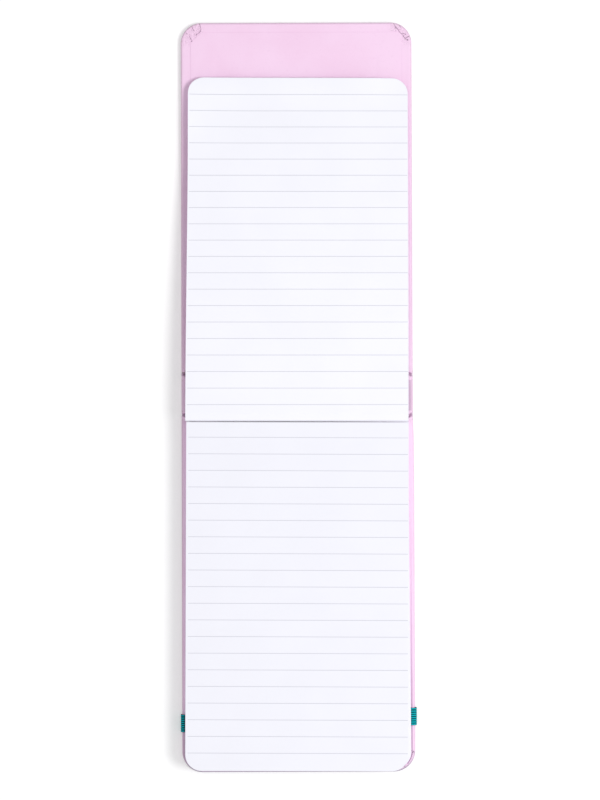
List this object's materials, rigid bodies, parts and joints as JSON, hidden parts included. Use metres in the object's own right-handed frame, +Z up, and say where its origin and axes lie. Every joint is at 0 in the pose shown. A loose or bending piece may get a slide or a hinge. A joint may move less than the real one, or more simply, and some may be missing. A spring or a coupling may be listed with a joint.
{
  "type": "hardcover ruled notepad",
  "caption": "Pocket notepad in a hard case, bound at its head and opened flat with a ruled leaf turned over the spine; for handwritten notes.",
  "frame": {"origin": "under the middle of the spine, on the surface that the pad lies on: the centre of the open pad's box, at its bottom", "axes": "+X across the pad, +Y from the pad's foot towards the turned-back front cover, +Z up, out of the ruled pages"},
  "size_m": [0.0908, 0.2894, 0.0148],
  "materials": {
    "covering_paper": "matt, fine grain",
    "lining_paper": "matt, smooth",
    "greyboard": "rough grey pulp",
    "ruled_paper": "uncoated white, ruled in pale grey",
    "binding_glue": "dried white glue",
    "woven_elastic": "ribbed teal weave"
  },
  "bodies": {
    "back_cover": {"back_board": "greyboard", "back_wrap": "covering_paper", "back_pastedown": "lining_paper", "page_block": "ruled_paper", "head_glue": "binding_glue", "turned_leaf": "ruled_paper", "elastic_band": "woven_elastic"},
    "spine": {"spine_board": "greyboard", "spine_wrap": "covering_paper", "spine_lining": "lining_paper"},
    "front_cover": {"front_board": "greyboard", "front_wrap": "covering_paper", "front_pastedown": "lining_paper"}
  },
  "joints": [
    {"name": "spine_fold", "type": "hinge", "parent": "back_cover", "child": "spine", "pos_m": [0, -0.00765, 0.0016], "axis": [1, 0, 0], "range_deg": [0, 90], "deforming": ["turned_leaf"]},
    {"name": "cover_fold", "type": "hinge", "parent": "spine", "child": "front_cover", "pos_m": [0, 0.00765, 0.0016], "axis": [1, 0, 0], "range_deg": [0, 90]}
  ],
  "couplings": [
    {"joint": "cover_fold", "follows": "spine_fold", "ratio": 1}
  ]
}
